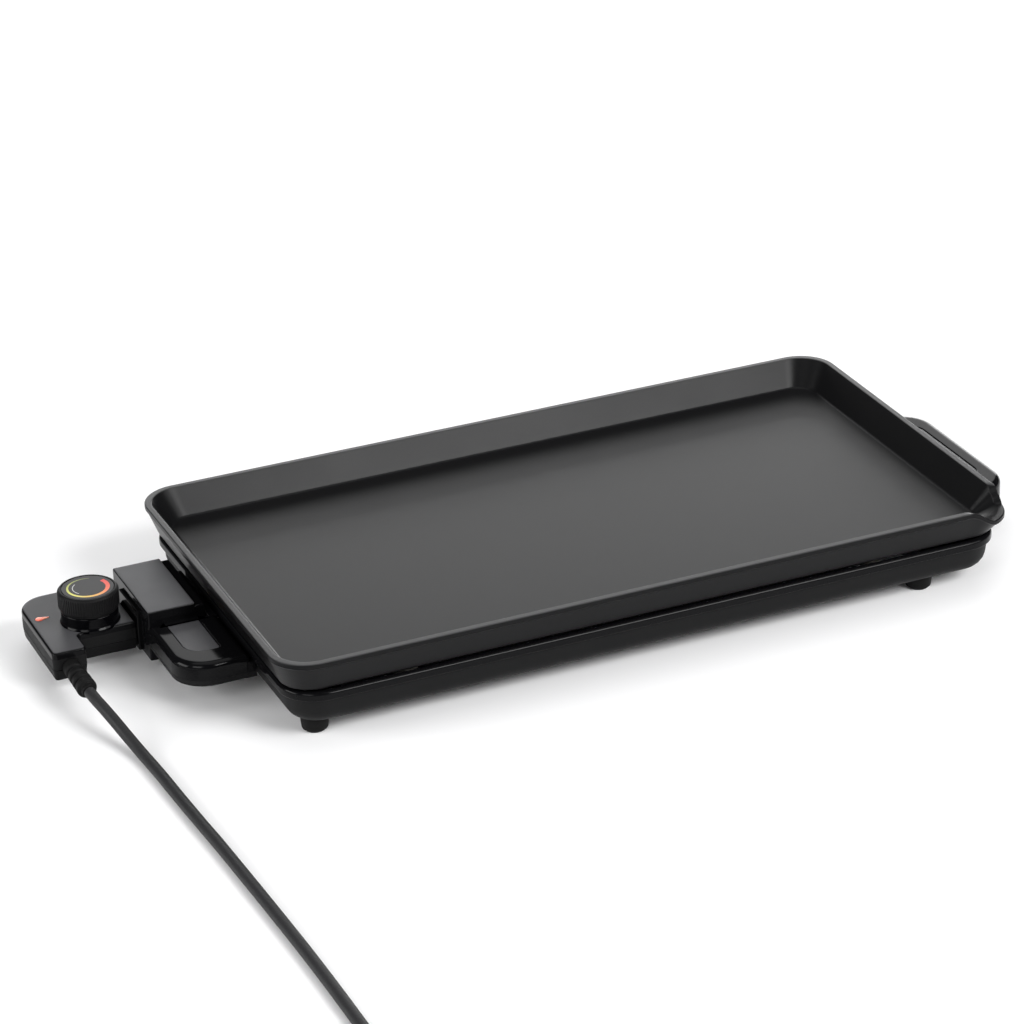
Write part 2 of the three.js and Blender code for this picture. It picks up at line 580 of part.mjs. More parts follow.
[8, 68].forEach((y, index) => {
  const head = c.z0 - FIT;
  const screw = turned(
    [[0, head - 1.1], [2.4, head - 1.1], [2.8, head], [1.2, head], [1.2, c.z0 + 6], [0, c.z0 + 6]],
    -341, y, 12);
  addPart(`controller_screw_${index + 1}`, screw, steel, controller);
});

const PROBE_START = -303.5;
const probe = rodX(PROBE.radius, PROBE_START, PROBE.end, AXIS.y, AXIS.z, 14);
addPart('temperature_probe', probe, steel, controller);

[1, -1].forEach((side, index) => {
  const y = AXIS.y + side * PINS.offset;
  const contact = cut(
    rodX(PINS.radius + 1.1, -284, NOSE.end - 0.6, y, AXIS.z),
    rodX(PINS.radius + 0.3, PINS.outer - 3, NOSE.end + 1, y, AXIS.z),
  );
  addPart(`contact_sleeve_${index + 1}`, contact, brass, controller);
});
const earth = box(-286, NOSE.end - 3, AXIS.y - 3, AXIS.y + 3, NOSE.z0 + c.wall + 0.4, NOSE.z0 + c.wall + 1.2);
addPart('earth_contact', earth, brass, controller);

const frameX = KNOB.x;
const thermostatFrame = cut(
  box(frameX - 11, frameX + 11, AXIS.y - 10, AXIS.y + 10, c.z0 + c.wall + 0.5, c.z1 - c.wall - 0.5),
  box(frameX - 9.5, frameX + 9.5, AXIS.y - 11, AXIS.y + 11, c.z0 + c.wall + 2, c.z1 - c.wall - 2),
  upright(3.2, c.z1 - 6, c.z1, KNOB.x, KNOB.y, 16),
);
addPart('thermostat_frame', thermostatFrame, steel, controller);
const contactArm = join(
  box(frameX - 8.5, frameX + 8.5, AXIS.y - 3, AXIS.y + 3, 14.6, 15.2),
  upright(1.8, 15, 16, frameX + 5, AXIS.y, 10),
);
addPart('contact_arm', contactArm, brass, controller);

addPart('pilot_lens', lensBody(0, c.z1 - 1.6, c.z1 + 0.4), lampRed, controller);
const lamp = new THREE.CapsuleGeometry(1.8, 7, 4, 10).translate(lensPlace.x, lensPlace.y, 23.6);
addPart('pilot_lamp', lamp, material(0xf2b59a, 0.2), controller);
const clamp = cut(
  box(RELIEF.x - 8, RELIEF.x + 8, 12, 18, c.z0 + c.wall + 0.4, RELIEF.z + 5),
  new THREE.CylinderGeometry(CORD.diameter / 2, CORD.diameter / 2, 10, 12).translate(RELIEF.x, 15, RELIEF.z),
);
addPart('cable_clamp', clamp, mattBlack, controller);

// ---- Knob ---------------------------------------------------------------------------------
const knobGroup = new THREE.Group();
controller.add(knobGroup);
const k = KNOB;
const knobBody = cut(
  turned([
    [0, k.bossTop + FIT], [k.radius - 0.8, k.bossTop + FIT], [k.radius - 0.8, k.capBottom - 0.4],
    [k.radius, k.capBottom], [k.radius, k.top - 1.4], [k.radius - 1.2, k.top], [0, k.top],
  ], k.x, k.y, 32),
  upright(k.dial + FIT, k.top - 1, k.top + 1, k.x, k.y, 32),
  upright(3, k.bossTop - 1, k.top - 4, k.x, k.y, 14),
);
addPart('knob', knobBody, mattBlack, knobGroup);
addPart('knob_dial', upright(k.dial, k.top - 0.7, k.top - 0.1, k.x, k.y, 32), satinBlack, knobGroup);
addPart('knob_shaft', upright(2.6, 20.4, k.top - 4.4, k.x, k.y, 14), steel, knobGroup);
const cam = new THREE.Shape();
cam.absarc(0, 0, 5.4, Math.PI / 2, 1.5 * Math.PI);
cam.absarc(0, 0, 7, -Math.PI / 2, Math.PI / 2);
const camBody = new THREE.ExtrudeGeometry(cam, { depth: 2.4, bevelEnabled: false, curveSegments: 8 });
addPart('thermostat_cam', camBody.translate(k.x, k.y, 17.6), ceramic, knobGroup);

// ---- Mains lead ---------------------------------------------------------------------------
// The strain relief leaves the housing towards -Y, ringed by four ribs.
const RELIEF_END = -38;
const ribs = [[0, 5], [RELIEF.radius, 5], [RELIEF.radius, c.y0 - 2.4], [5.9, c.y0 - 2.4]];
const ribCount = 4;
for (let i = 0; i < ribCount; i += 1) {
  const start = -5 - i * 8;
  const r = 5.9 + i * 0.15;
  ribs.push([r, start], [r, start - 5], [r - 1.3, start - 5.6], [r - 1.3, start - 7.4]);
}
ribs.push([4.4, RELIEF_END], [0, RELIEF_END]);
const reliefProfile = ribs.map(([r, y]) => new THREE.Vector2(r, -y));
const relief = new THREE.LatheGeometry(reliefProfile, 16).rotateX(Math.PI);
addPart('strain_relief', relief.translate(RELIEF.x, 0, RELIEF.z), rubber, controller);

const CORD_Z = CORD.diameter / 2 + 0.1;
const cordRoute = [
  [RELIEF.x, RELIEF_END - 2 * FIT, RELIEF.z],
  [-339.3, -48, 17.9],
  [-337.3, -58, 15.8],
  [-334.5, -70, 12.2],
  [-331.6, -83, 8.2],
  [-329.1, -97, 5.1],
  [-327.4, -113, CORD_Z],
  [-326.4, -130, CORD_Z],
  [-325.2, -160, CORD_Z],
  [-323.8, -190, CORD_Z],
  [-322.2, -220, CORD_Z],
  [-320.6, -260, CORD_Z],
  [-318.8, -310, CORD_Z],
  [-317.4, -360, CORD_Z],
  [-316.9, -410, CORD_Z],
  [-316.8, -460, CORD_Z],
  [-316.8, -500, CORD_Z],
  [-316.8, CORD.coilY + 29.5, CORD_Z],
];
addPart('mains_cord', bar(cordRoute, CORD.diameter / 2, 32), rubber, controller);

const { coilInner: inner, coilOuter: outer, coilHeight: height } = CORD;
const coilSection = [[inner, 0], [outer, 0], [outer, height], [inner, height], [inner, 0]];
const coil = turned(coilSection, CORD.coilX, CORD.coilY, 40);
addPart('cord_coil', coil, rubber, controller);
const tie = cut(
  box(inner - 2.6, outer + 2, -5, 5, 0, height + 1.8),
  box(inner - 1, outer + 0.5, -6, 6, -1, height + FIT),
);
addPart('cord_tie', tie.translate(CORD.coilX, CORD.coilY, 0), mattBlack, controller);

const tailY = CORD.coilY - 48.8;
const PLUG = { x: -172, y: tailY, z: 18, length: 36 };
const tailRoute = [
  [CORD.coilX + 31.5, tailY, 13.3],
  [CORD.coilX + 42, tailY, 14.4],
  [CORD.coilX + 56, tailY, 16],
  [CORD.coilX + 70, tailY, 17.3],
  [CORD.coilX + 82, tailY, 17.9],
  [PLUG.x - FIT, tailY, PLUG.z],
];
addPart('cord_tail', bar(tailRoute, CORD.diameter / 2, 6), rubber, controller);
const plugProfile = [[0, 0], [6, 0], [7.5, 12], [14, 22], [18, 27], [18, 36], [0, 36]];
const plug = new THREE.LatheGeometry(plugProfile.map(([r, x]) => new THREE.Vector2(r, x)), 24);
addPart('plug_body', plug.rotateZ(-Math.PI / 2).translate(PLUG.x, PLUG.y, PLUG.z), rubber, controller);
[1, -1].forEach((side, index) => {
  const root = PLUG.x + PLUG.length;
  const pin = rodX(2.4, root + 0.05, root + 19, PLUG.y + side * 9.5, PLUG.z, 12);
  addPart(`plug_pin_${index + 1}`, pin, steel, controller);
});

// ---- Place the origin under the middle of the griddle -------------------------------------
model.position.x = -(BOX.x0 + HANDLE.reach) / 2;

export default group;
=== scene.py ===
"""Looks of the electric griddle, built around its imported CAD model. Sizes are in millimetres, measured
from the middle of the cooking plate and up from the floor, until a mesh or a curve is made in metres."""
import json
import math

import bmesh
import bpy
from mathutils import Matrix, Vector


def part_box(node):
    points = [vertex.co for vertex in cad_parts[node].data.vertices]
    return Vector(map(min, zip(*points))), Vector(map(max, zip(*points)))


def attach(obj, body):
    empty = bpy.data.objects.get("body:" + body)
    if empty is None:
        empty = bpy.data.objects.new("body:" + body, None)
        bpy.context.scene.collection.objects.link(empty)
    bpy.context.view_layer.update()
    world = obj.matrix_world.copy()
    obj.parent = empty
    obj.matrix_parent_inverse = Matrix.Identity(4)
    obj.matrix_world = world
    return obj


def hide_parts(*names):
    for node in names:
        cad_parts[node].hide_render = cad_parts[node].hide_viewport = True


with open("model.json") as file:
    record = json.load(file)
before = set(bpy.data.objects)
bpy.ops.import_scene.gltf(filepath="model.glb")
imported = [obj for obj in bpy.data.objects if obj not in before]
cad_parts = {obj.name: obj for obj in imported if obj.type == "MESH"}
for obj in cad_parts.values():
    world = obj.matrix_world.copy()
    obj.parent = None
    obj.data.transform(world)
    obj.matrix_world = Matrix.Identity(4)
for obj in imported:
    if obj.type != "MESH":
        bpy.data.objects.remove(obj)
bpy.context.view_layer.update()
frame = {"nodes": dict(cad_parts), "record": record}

MM = 0.001
plate_low, plate_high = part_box("cooking_plate")
MIDDLE = Vector(((plate_low.x + plate_high.x) / 2, (plate_low.y + plate_high.y) / 2, 0))
Z = Vector((0, 0, 1))


def metres(x, y, z):
    return MIDDLE + Vector((x, y, z)) * MM


def span(node):
    """A CAD node's box, in millimetres from the middle of the plate: x0, x1, y0, y1, z0, z1."""
    low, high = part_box(node)
    low = (low - MIDDLE) / MM
    high = (high - MIDDLE) / MM
    return low.x, high.x, low.y, high.y, low.z, high.z


def link_object(name, data):
    thing = bpy.data.objects.new(name, data)
    bpy.context.scene.collection.objects.link(thing)
    return thing


# ---- Camera ---------------------------------------------------------------------------------
# Fitted to the photo: place in metres, lens in millimetres for a frame 36 mm wide.
CAMERA_PLACE = Vector((-0.8339, -1.9671, 1.0864))
CAMERA_AZIMUTH = math.radians(-22.703)
CAMERA_ELEVATION = math.radians(25.765)
CAMERA_ROLL = math.radians(2.029)
CAMERA_LENS = 130.186


def make_camera():
    flat = math.cos(CAMERA_ELEVATION)
    back = Vector((math.sin(CAMERA_AZIMUTH) * flat, -math.cos(CAMERA_AZIMUTH) * flat,
                   math.sin(CAMERA_ELEVATION)))
    level = Vector((math.cos(CAMERA_AZIMUTH), math.sin(CAMERA_AZIMUTH), 0))
    upright = back.cross(level)
    right = math.cos(CAMERA_ROLL) * level - math.sin(CAMERA_ROLL) * upright
    up = math.sin(CAMERA_ROLL) * level + math.cos(CAMERA_ROLL) * upright
    data = bpy.data.cameras.new("camera")
    data.lens = CAMERA_LENS
    data.sensor_width = 36
    data.clip_end = 30
    camera = link_object("camera", data)
    turn = Matrix((right, up, back)).transposed().to_4x4()
    camera.matrix_world = Matrix.Translation(CAMERA_PLACE) @ turn
    bpy.context.scene.camera = camera


# ---- Materials ------------------------------------------------------------------------------
RIM_TOP = 58


def new_material(name):
    mat = bpy.data.materials.new(name)
    mat.use_nodes = True
    shader = mat.node_tree.nodes["Principled BSDF"]
    return mat, mat.node_tree, shader


def add(tree, kind, **values):
    """A node with its named input sockets or properties set."""
    node = tree.nodes.new(kind)
    for key, value in values.items():
        if key in node.inputs:
            node.inputs[key].default_value = value
        else:
            setattr(node, key, value)
    return node


def put(tree, value, socket):
    """Links a value from another node's socket, or sets it to a colour or a number."""
    if isinstance(value, bpy.types.NodeSocket):
        tree.links.new(value, socket)
    elif isinstance(value, (list, tuple)):
        socket.default_value = (*value, 1)
    else:
        socket.default_value = value


def noise(tree, scale, detail=2.0, stretch=None):
    """Noise over the object's own coordinates; scale is in features per metre."""
    where = add(tree, "ShaderNodeTexCoord").outputs["Object"]
    if stretch:
        mapping = add(tree, "ShaderNodeMapping")
        mapping.inputs["Scale"].default_value = stretch
        tree.links.new(where, mapping.inputs["Vector"])
        where = mapping.outputs["Vector"]
    node = add(tree, "ShaderNodeTexNoise", Scale=scale, Detail=detail)
    tree.links.new(where, node.inputs["Vector"])
    return node.outputs["Fac"]


def remap(tree, value, low, high, from_low=0.0, from_high=1.0):
    node = add(tree, "ShaderNodeMapRange")
    node.inputs["From Min"].default_value = from_low
    node.inputs["From Max"].default_value = from_high
    node.inputs["To Min"].default_value = low
    node.inputs["To Max"].default_value = high
    tree.links.new(value, node.inputs["Value"])
    return node.outputs["Result"]


def mix_colours(tree, factor, first, second):
    node = add(tree, "ShaderNodeMix", data_type="RGBA")
    colours = [socket for socket in node.inputs if socket.type == "RGBA"]
    for socket, colour in zip(colours, (first, second)):
        put(tree, colour, socket)
    tree.links.new(factor, node.inputs["Factor"])
    return [socket for socket in node.outputs if socket.type == "RGBA"][0]


def mix_values(tree, factor, first, second):
    node = add(tree, "ShaderNodeMix", data_type="FLOAT")
    tree.links.new(factor, node.inputs[0])
    for socket, value in zip(node.inputs[2:4], (first, second)):
        put(tree, value, socket)
    return node.outputs[0]


def height_mask(tree, z, blur=0.15):
    """0 below the height z, 1 above it, with a short ramp between."""
    where = add(tree, "ShaderNodeTexCoord").outputs["Object"]
    split = add(tree, "ShaderNodeSeparateXYZ")
    tree.links.new(where, split.inputs["Vector"])
    return remap(tree, split.outputs["Z"], 0, 1, (z - blur) * MM, (z + blur) * MM)


def add_bump(tree, shader, height, strength, distance=0.0002):
    bumps = add(tree, "ShaderNodeBump", Distance=distance)
    put(tree, strength, bumps.inputs["Strength"])
    tree.links.new(height, bumps.inputs["Height"])
    tree.links.new(bumps.outputs["Normal"], shader.inputs["Normal"])


def surface(name, colour, roughness, grain=1400, bump=0.12, spread=0.05, cloud=45, tint=0.18,
            metallic=0.0, specular=0.2, stretch=None):
    """A moulded, coated or metal finish: fine grain in the bump and the colour, slow clouds in the
    roughness.
    """
    mat, tree, shader = new_material(name)
    shader.inputs["Metallic"].default_value = metallic
    shader.inputs["Specular IOR Level"].default_value = specular
    fine = noise(tree, grain, 3.0, stretch)
    slow = noise(tree, cloud, stretch=stretch)
    tree.links.new(remap(tree, slow, roughness - spread, roughness + spread, 0.1, 0.9),
                   shader.inputs["Roughness"])
    dark = [c * (1 - tint) for c in colour]
    light = [c * (1 + tint) for c in colour]
    tree.links.new(mix_colours(tree, fine, dark, light), shader.inputs["Base Color"])
    add_bump(tree, shader, fine, bump)
    return mat


def banded(name, bands):
    """One moulding finished in level bands, from the bottom up.
    Each band is (height where it ends, colour, roughness, bump)."""
    mat, tree, shader = new_material(name)
    shader.inputs["Specular IOR Level"].default_value = 0.1
    fine = noise(tree, 1500, 3.0)
    slow = noise(tree, 50)
    _, colour, roughness, bump = bands[0]
    for (limit, *_), (_, next_colour, next_roughness, next_bump) in zip(bands, bands[1:]):
        above = height_mask(tree, limit)
        colour = mix_colours(tree, above, colour, next_colour)
        roughness = mix_values(tree, above, roughness, next_roughness)
        bump = mix_values(tree, above, bump, next_bump)
    worn = add(tree, "ShaderNodeMath", operation="MULTIPLY")
    tree.links.new(roughness, worn.inputs[0])
    tree.links.new(remap(tree, slow, 0.9, 1.1, 0.3, 0.7), worn.inputs[1])
    tree.links.new(worn.outputs[0], shader.inputs["Roughness"])
    flecked = mix_colours(tree, remap(tree, fine, 0.0, 0.05), colour, (0.08, 0.08, 0.08))
    tree.links.new(flecked, shader.inputs["Base Color"])
    add_bump(tree, shader, fine, bump)
    return mat


ABOVE_ALL = 99     # the height where a moulding's last band ends
# Colour, roughness and bump of the bands.
GLOSS = ((0.0015, 0.0015, 0.002), 0.12, 0.0)
SATIN = ((0.062, 0.062, 0.066), 0.40, 0.16)
MATT = ((0.006, 0.006, 0.0063), 0.50, 0.16)


def make_finishes():
    """The finish of each of the record's material slots."""
    return {
        "plate_coating": coating_material(),
        "base_plastic": surface("base_plastic", MATT[0], 0.5, specular=0.1),
        "gloss_black": surface("gloss_black", GLOSS[0], 0.10, grain=300, bump=0.02, spread=0.02,
                               specular=0.09),
        "satin_black": surface("satin_black", SATIN[0], 0.40, bump=0.2, specular=0.3),
        "matt_black": surface("matt_black", MATT[0], 0.45, bump=0.2, specular=0.09),
        "steel": surface("steel", (0.55, 0.55, 0.56), 0.3, grain=900, bump=0.05, metallic=1),
        # Painted shade: the heating element's steel is coloured darker than bare steel, for where it
        # shows in the gap under the plate.
        "element_steel": surface("element_steel", (0.12, 0.115, 0.11), 0.5, grain=700, bump=0.1,
                                 metallic=1),
        "brass": surface("brass", (0.62, 0.44, 0.19), 0.3, grain=900, bump=0.05, metallic=1),
        # Painted shade: the ceramic spacers are coloured dark grey-brown instead of white, for where
        # they show in the gap under the plate.
        "ceramic": surface("ceramic", (0.20, 0.19, 0.17), 0.6, grain=800, bump=0.2, tint=0.05),
        "aluminium": surface("aluminium", (0.66, 0.67, 0.68), 0.36, grain=900, bump=0.08, metallic=1,
                             stretch=(0.1, 1, 1)),
        "rubber": surface("rubber", (0.006, 0.006, 0.006), 0.55, grain=1100, bump=0.25, specular=0.1),
        "cord_rubber": surface("cord_rubber", (0.020, 0.020, 0.021), 0.48, grain=900, bump=0.4,
                               tint=0.45),
        "lamp_red": lamp_material(),
        "dial_print": dial_material(),
    }


def coating_material():
    """Grained non-stick coating, with a painted highlight: coloured lighter along the flat top of the
    rim.
    """
    mat = surface("nonstick_coating", (0.006, 0.006, 0.0064), 0.29, grain=1300, bump=0.2, spread=0.02,
                  cloud=28, tint=0.4, specular=0.11)
    tree = mat.node_tree
    colour = tree.nodes["Principled BSDF"].inputs["Base Color"]
    # Painted highlight: above the top edge of the rim, the coating is mixed to a lighter grey.
    painted_rim_highlight = height_mask(tree, RIM_TOP - 0.3, 0.2)
    tree.links.new(mix_colours(tree, painted_rim_highlight, colour.links[0].from_socket, (0.045, 0.045, 0.046)), colour)
    return mat


def lamp_material():
    """A frosted coral lens, unevenly lit from behind."""
    mat, tree, shader = new_material("lamp_lens")
    glow = mix_colours(tree, remap(tree, noise(tree, 260), 0, 1, 0.35, 0.65),
                       (0.80, 0.12, 0.07), (0.95, 0.36, 0.24))
    tree.links.new(glow, shader.inputs["Base Color"])
    tree.links.new(glow, shader.inputs["Emission Color"])
    shader.inputs["Emission Strength"].default_value = 0.12
    shader.inputs["Roughness"].default_value = 0.22
    shader.inputs["Subsurface Weight"].default_value = 0.3
    shader.inputs["Subsurface Scale"].default_value = 0.001
    return mat


# ---- Lines with rounded corners -------------------------------------------------------------
def rounded(corners, steps=6, closed=True, beside=()):
    """Points along a line through corners (x, y, radius), each rounded by its radius. beside adds
    points on the straight parts, at those distances from each rounding."""
    points = []
    for i, (x, y, radius) in enumerate(corners):
        here = Vector((x, y))
        if not closed and i in (0, len(corners) - 1):
            points.append(here)
            continue
        before = (Vector(corners[i - 1][:2]) - here).normalized()
        after = (Vector(corners[(i + 1) % len(corners)][:2]) - here).normalized()
        half = before.angle(after) / 2
        reach = radius / math.tan(half)     # from the corner to where the rounding starts
        middle = here + (before + after).normalized() * (radius / math.sin(half))
        start = here + before * reach
        side = 1 if before.cross(after) < 0 else -1
        sweep = side * (math.pi - 2 * half)
        points += [start + before * back for back in reversed(beside)]
        for k in range(steps + 1):
            points.append(middle + Matrix.Rotation(sweep * k / steps, 2) @ (start - middle))
        points += [here + after * (reach + on) for on in beside]
    return points


def inset(corners, distance, shrink=1.0):
    """The same outline moved inwards, with its radii made smaller (larger in its hollows) by
    shrink times the distance."""
    moved = []
    for i, (x, y, radius) in enumerate(corners):
        here = Vector((x, y))
        into = (here - Vector(corners[i - 1][:2])).normalized()
        out = (Vector(corners[(i + 1) % len(corners)][:2]) - here).normalized()
        left = Vector((-into.y, into.x))
        right = Vector((-out.y, out.x))
        shift = (left + right) / (1 + left.dot(right))
        hollow = into.cross(out) < 0
        radius = radius + distance * shrink if hollow else max(radius - distance * shrink, 0.05)
        moved.append((*(here + shift * distance), radius))
    return moved


def rectangle(x0, x1, y0, y1, radii=0.05):
    """Corners of a rectangle, anticlockwise from x0, y0."""
    a, b, c, d = radii if isinstance(radii, (list, tuple)) else [radii] * 4
    return [(x0, y0, a), (x1, y0, b), (x1, y1, c), (x0, y1, d)]


# ---- Solids: (points, faces) in millimetres --------------------------------------------------
def loft(rings):
    """Joins rings of as many points each into one closed body."""
    count = len(rings[0])
    faces = [list(range(count))[::-1]]
    for r in range(len(rings) - 1):
        for i in range(count):
            j = (i + 1) % count
            faces.append([r * count + i, r * count + j, (r + 1) * count + j, (r + 1) * count + i])
    faces.append([(len(rings) - 1) * count + i for i in range(count)])
    return [p for ring in rings for p in ring], faces


def ring(plan, distance, z, steps=6, shrink=1.0, beside=()):
    return [Vector((p.x, p.y, z)) for p in rounded(inset(plan, distance, shrink), steps, True, beside)]


def moulding(plan, profile, steps=6, beside=()):
    """A body whose level outlines follow a rounded profile of corners (inset, height, radius)."""
    return loft([ring(plan, p.x, p.y, steps, beside=beside) for p in rounded(profile, 5, False)])


def block(x0, x1, y0, y1, z0, z1):
    return moulding(rectangle(x0, x1, y0, y1), [(0, z0, 0), (0, z1, 0)], 1)


def turned(profile, place, axis=(0, 0, 1), sides=64, ripple=None):
    """A body turned about an axis through place: profile corners are (radius, distance, rounding).
    ripple(angle, radius, distance) gives a point's own radius."""
    along = Vector(axis)
    across = along.orthogonal().normalized()
    other = along.cross(across)
    rings = []
    for p in rounded(profile, 5, False):
        level = []
        for k in range(sides):
            angle = 2 * math.pi * k / sides
            radius = max(ripple(angle, p.x, p.y) if ripple else p.x, 0.02)
            level.append(Vector(place) + along * p.y
                         + (across * math.cos(angle) + other * math.sin(angle)) * radius)
        rings.append(level)
    return loft(rings)


def rod(radius, start, end, place, axis=(0, 0, 1), sides=32, edge=0.0):
    """A plain round bar, from start to end along an axis through place."""
    return turned([(0, start, 0), (radius, start, edge), (radius, end, edge), (0, end, 0)], place,
                  axis, sides)


def to_mesh(name, solid):
    points, faces = solid
    mesh = bpy.data.meshes.new(name)
    mesh.from_pydata([metres(*p) for p in points], [], faces)
    work = bmesh.new()
    work.from_mesh(mesh)
    bmesh.ops.remove_doubles(work, verts=work.verts, dist=2e-6)
    bmesh.ops.dissolve_degenerate(work, edges=work.edges, dist=1e-6)
    bmesh.ops.recalc_face_normals(work, faces=work.faces)
    work.to_mesh(mesh)
    work.free()
    return mesh


def make_object(name, solid):
    return link_object(name, to_mesh(name, solid))


def combine(thing, solids, operation):
    """Joins solids to the object's mesh or cuts them out of it."""
    for solid in solids:
        tool = make_object("tool", solid)
        change = thing.modifiers.new("change", "BOOLEAN")
        change.operation = operation
        change.solver = "EXACT"
        change.object = tool
        graph = bpy.context.evaluated_depsgraph_get()
        changed = bpy.data.meshes.new_from_object(thing.evaluated_get(graph))
        thing.modifiers.clear()
        thing.data = changed
        bpy.data.objects.remove(tool)


def finish_piece(thing, body, finish, stands_for=(), crease=32):
    """Shades a piece, gives it its material, ties it to its body and hides the CAD nodes that it stands
    for.
    """
    if thing.type == "MESH":
        thing.data.shade_smooth()
        thing.data.set_sharp_from_angle(angle=math.radians(crease))
        weights = thing.modifiers.new("weights", "WEIGHTED_NORMAL")
        weights.keep_sharp = True
        weights.weight = 60
    thing.data.materials.clear()
    thing.data.materials.append(finish)
    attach(thing, body)
    if stands_for:
        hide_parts(*stands_for)
    return thing


def piece(name, solid, body, finish, stands_for=(), joins=(), cuts=(), crease=32):
    thing = make_object(name, solid)
    combine(thing, joins, "UNION")
    combine(thing, cuts, "DIFFERENCE")
    return finish_piece(thing, body, finish, stands_for, crease)


# ---- Mains lead -----------------------------------------------------------------------------
CORD_DIAMETER = 7.4
CORD_Z = CORD_DIAMETER / 2 + 0.1
COIL = Vector((-266.8, -562))
COIL_TURNS = 3.25
COIL_POINTS_PER_TURN = 16
UPPER = CORD_Z + 7.5     # the second layer of the coil
# Turns from where the lead meets the coil, radius, height.
WINDING = [
    (0, 50, CORD_Z), (0.25, 48.6, CORD_Z), (0.7, 48.6, CORD_Z), (0.98, 40.9, CORD_Z),
    (1.42, 40.9, CORD_Z), (1.76, 40.9, UPPER), (2.24, 40.9, UPPER), (2.46, 48.7, UPPER),
    (3.05, 48.7, UPPER), (3.25, 48.8, 12.0),
]
TAIL_Y = COIL.y - WINDING[-1][1]
LEAD = [
    (-340, -38.6, 18.4), (-339.3, -48, 17.9), (-337.3, -58, 15.8), (-334.5, -70, 12.2),
    (-331.6, -83, 8.2), (-329.1, -97, 5.1), (-327.4, -113, CORD_Z), (-326.4, -130, CORD_Z),
    (-325.2, -160, CORD_Z), (-323.8, -190, CORD_Z), (-322.2, -220, CORD_Z), (-320.6, -260, CORD_Z),
    (-318.8, -310, CORD_Z), (-317.4, -360, CORD_Z), (-316.9, -410, CORD_Z), (-316.8, -460, CORD_Z),
    (-316.8, -500, CORD_Z), (-316.8, COIL.y + 29.5, CORD_Z),
]
TAIL = [
    (COIL.x + 14, TAIL_Y, 12.3), (COIL.x + 28, TAIL_Y, 13.0), (COIL.x + 42, TAIL_Y, 14.4),
    (COIL.x + 56, TAIL_Y, 16.0), (COIL.x + 70, TAIL_Y, 17.3), (COIL.x + 82, TAIL_Y, 17.9),
    (-172.3, TAIL_Y, 18),
]


def winding(turn):
    """Radius and height of the cord after that many turns, eased between the listed places."""
    for (t0, r0, z0), (t1, r1, z1) in zip(WINDING, WINDING[1:]):
        if turn <= t1:
            share = (turn - t0) / (t1 - t0)
            share = share * share * (3 - 2 * share)
            return r0 + (r1 - r0) * share, z0 + (z1 - z0) * share
    return WINDING[-1][1:]


def cord_route():
    route = list(LEAD)
    for i in range(1, int(COIL_TURNS * COIL_POINTS_PER_TURN) + 1):
        turn = i / COIL_POINTS_PER_TURN
        radius, z = winding(turn)
        angle = math.pi + 2 * math.pi * turn
        route.append((COIL.x + radius * math.cos(angle), COIL.y + radius * math.sin(angle), z))
    return route + TAIL


def make_cord(finishes):
    data = bpy.data.curves.new("mains_lead", "CURVE")
    data.dimensions = "3D"
    data.resolution_u = 8
    data.bevel_depth = CORD_DIAMETER / 2 * MM
    data.bevel_resolution = 6
    data.use_fill_caps = True
    line = data.splines.new("BEZIER")
    route = cord_route()
    line.bezier_points.add(len(route) - 1)
    for knot, place in zip(line.bezier_points, route):
        knot.co = metres(*place)
        knot.handle_left_type = knot.handle_right_type = "AUTO"
    lead = link_object("mains_lead", data)
    return finish_piece(lead, "controller", finishes["cord_rubber"],
                        ("mains_cord", "cord_coil", "cord_tail"))


def make_tie(finishes):
    """A soft strap over the coil, its two ends tucked down to the floor."""
    x0, x1, y0, y1, z0, z1 = span("cord_tie")
    wall, edge = 1.4, 0.3
    plan = [(x0, z0, 0.05), (x0 + wall, z0, 0.05), (x0 + wall, z1 - wall, 3),
            (x1 - wall, z1 - wall, 3), (x1 - wall, z0, 0.05), (x1, z0, 0.05), (x1, z1, 4), (x0, z1, 4)]
    rings = []
    for distance, y in [(edge, y0), (0, y0 + edge), (0, y1 - edge), (edge, y1)]:
        rings.append([Vector((p.x, y, p.y)) for p in rounded(inset(plan, distance), 5)])
    return piece("coil_tie", loft(rings), "controller", finishes["matt_black"],
                 ("cord_tie",))


def lying_rod(node):
    """Start, radius and length of a CAD node that lies round a line along X."""
    x0, x1, y0, y1, z0, z1 = span(node)
    return (x0, (y0 + y1) / 2, (z0 + z1) / 2), (z1 - z0) / 2, x1 - x0


def make_plug(finishes):
    middle, radius, length = lying_rod("plug_body")
    grips, grip_depth = 24, 0.35

    def grip(angle, r, along):
        held = 0.35 <= along / length <= 0.62
        return r - (grip_depth * (1 + math.cos(grips * angle)) if held else 0)

    face = length - 0.8     # the face that the pins stand on, sunk inside a low edge
    profile = [(0, 0, 0), (5.4, 0, 0.8), (5.6, 9, 6), (9, 14, 8), (14, 22, 6), (radius, 26, 2),
               (radius, length, 1.2), (15.4, length, 0.4), (15.2, face, 0.3), (0, face, 0)]
    body = piece("plug_moulding", turned(profile, middle, (1, 0, 0), 96, grip), "controller",
                 finishes["cord_rubber"], ("plug_body",))
    pieces = [body]
    root = -0.8     # the pins reach this far into the moulding
    for name in ("plug_pin_1", "plug_pin_2"):
        start, r, length = lying_rod(name)
        pin = [(0, root, 0), (r, root, 0.05), (r, length, 1.9), (0, length, 0)]
        pieces.append(piece(name + "_fine", turned(pin, start, (1, 0, 0), 40), "controller",
                            finishes["steel"], (name,)))
    return pieces


